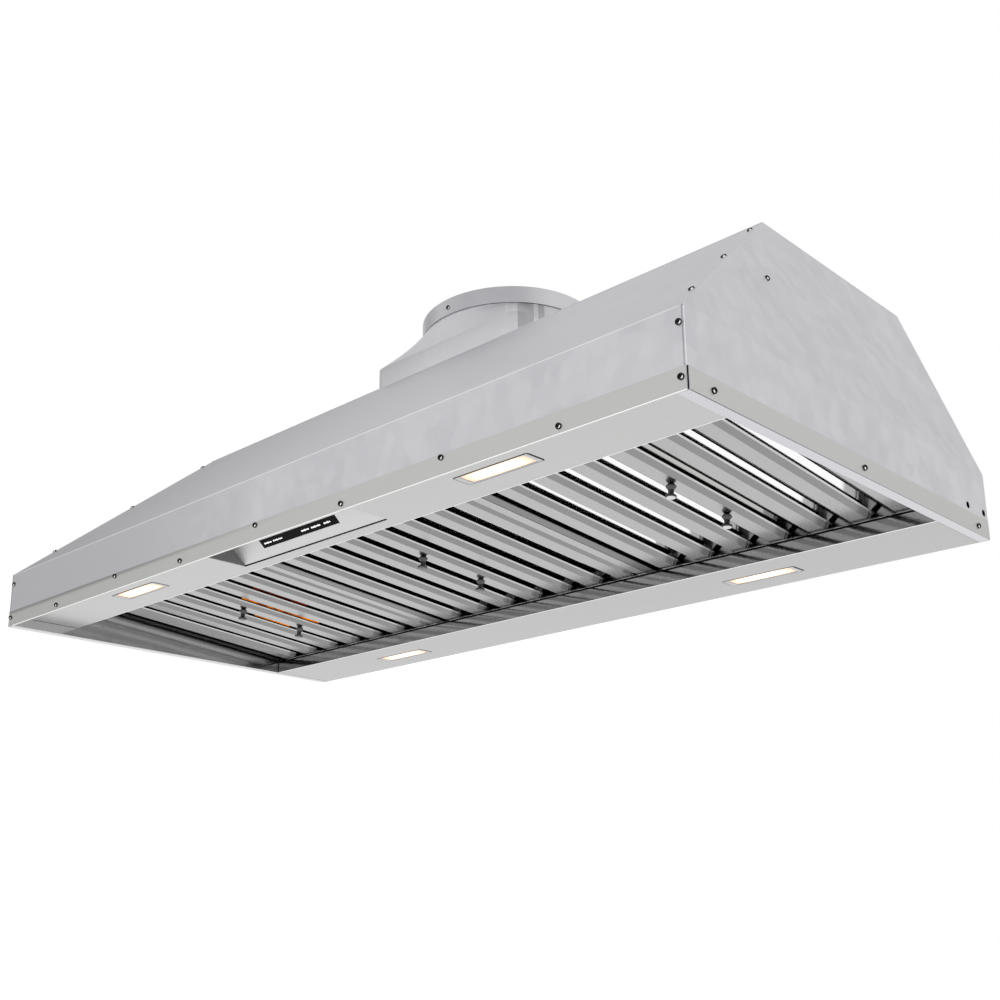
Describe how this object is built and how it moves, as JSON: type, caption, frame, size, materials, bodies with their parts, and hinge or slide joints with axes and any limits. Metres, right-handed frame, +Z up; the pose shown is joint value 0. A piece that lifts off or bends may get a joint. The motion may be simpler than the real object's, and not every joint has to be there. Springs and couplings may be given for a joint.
{
  "type": "range hood liner",
  "caption": "Wide under-cabinet range hood liner: sloped galvanised casing, stainless underside with baffle filters, flush lamps, slanted touch control, blowers and a round top duct collar.",
  "frame": {"origin": "middle of the bottom rim plane", "axes": "+X along the length to the right seen from the front, +Y from the front to the rear wall side, +Z up to the duct"},
  "size_m": [1.1824, 0.5954, 0.4184],
  "materials": {
    "galvanised": "satin galvanised sheet with a faint mottle",
    "stainless": "finely brushed stainless sheet",
    "bright_metal": "bright plated",
    "aluminium": "mill finish",
    "motor_paint": "satin black paint",
    "board": "green laminate",
    "grommet_rubber": "matt black",
    "black_glass": "black backed, polished",
    "black_plastic": "fine matt",
    "diffuser": "frosted, lit warm white"
  },
  "bodies": {
    "liner": {"front_panel": "galvanised", "left_side_panel": "galvanised", "right_side_panel": "galvanised", "rear_panel": "galvanised", "top_panel": "galvanised", "duct_transition": "galvanised", "duct_collar": "galvanised", "damper_rod": "stainless", "left_blower_housing": "galvanised", "right_blower_housing": "galvanised", "left_blower_inlet": "galvanised", "right_blower_inlet": "galvanised", "left_motor": "motor_paint", "right_motor": "motor_paint", "electrical_box": "galvanised", "electrical_box_cover": "galvanised", "power_board": "board", "run_capacitors": "aluminium", "supply_grommet": "grommet_rubber", "front_light_panel": "stainless", "rear_light_panel": "stainless", "left_side_rail": "stainless", "right_side_rail": "stainless", "control_plate": "stainless", "touch_glass": "black_glass", "touch_module": "black_plastic", "front_left_lamp_bezel": "stainless", "front_left_lamp_diffuser": "diffuser", "front_left_lamp_housing": "black_plastic", "front_right_lamp_bezel": "stainless", "front_right_lamp_diffuser": "diffuser", "front_right_lamp_housing": "black_plastic", "rear_left_lamp_bezel": "stainless", "rear_left_lamp_diffuser": "diffuser", "rear_left_lamp_housing": "black_plastic", "rear_right_lamp_bezel": "stainless", "rear_right_lamp_diffuser": "diffuser", "rear_right_lamp_housing": "black_plastic", "front_screws": "bright_metal", "side_screws": "bright_metal", "rear_screws": "bright_metal", "top_screws": "bright_metal", "collar_screws": "bright_metal"},
    "left_filter": {"left_filter_frame": "stainless", "left_filter_lower_baffles": "stainless", "left_filter_upper_baffles": "stainless", "left_filter_knobs": "bright_metal"},
    "middle_filter": {"middle_filter_frame": "stainless", "middle_filter_lower_baffles": "stainless", "middle_filter_upper_baffles": "stainless", "middle_filter_knobs": "bright_metal"},
    "right_filter": {"right_filter_frame": "stainless", "right_filter_lower_baffles": "stainless", "right_filter_upper_baffles": "stainless", "right_filter_knobs": "bright_metal"},
    "left_wheel": {"left_impeller": "aluminium"},
    "right_wheel": {"right_impeller": "aluminium"},
    "front_flap": {"front_damper_flap": "aluminium"},
    "rear_flap": {"rear_damper_flap": "aluminium"}
  },
  "joints": [
    {"name": "left_filter_lift", "type": "slide", "parent": "liner", "child": "left_filter", "axis": [0, 0, 1], "range_m": [0, 0.025]},
    {"name": "middle_filter_lift", "type": "slide", "parent": "liner", "child": "middle_filter", "axis": [0, 0, 1], "range_m": [0, 0.025]},
    {"name": "right_filter_lift", "type": "slide", "parent": "liner", "child": "right_filter", "axis": [0, 0, 1], "range_m": [0, 0.025]},
    {"name": "left_wheel_spin", "type": "hinge", "parent": "liner", "child": "left_wheel", "pos_m": [-0.077, 0.131, 0.1992], "axis": [1, 0, 0], "continuous": true},
    {"name": "right_wheel_spin", "type": "hinge", "parent": "liner", "child": "right_wheel", "pos_m": [0.077, 0.131, 0.1992], "axis": [1, 0, 0], "continuous": true},
    {"name": "front_flap_swing", "type": "hinge", "parent": "liner", "child": "front_flap", "pos_m": [0, 0.14, 0.4109], "axis": [-1, 0, 0], "range_deg": [0, 78]},
    {"name": "rear_flap_swing", "type": "hinge", "parent": "liner", "child": "rear_flap", "pos_m": [0, 0.14, 0.4109], "axis": [1, 0, 0], "range_deg": [0, 78]}
  ]
}
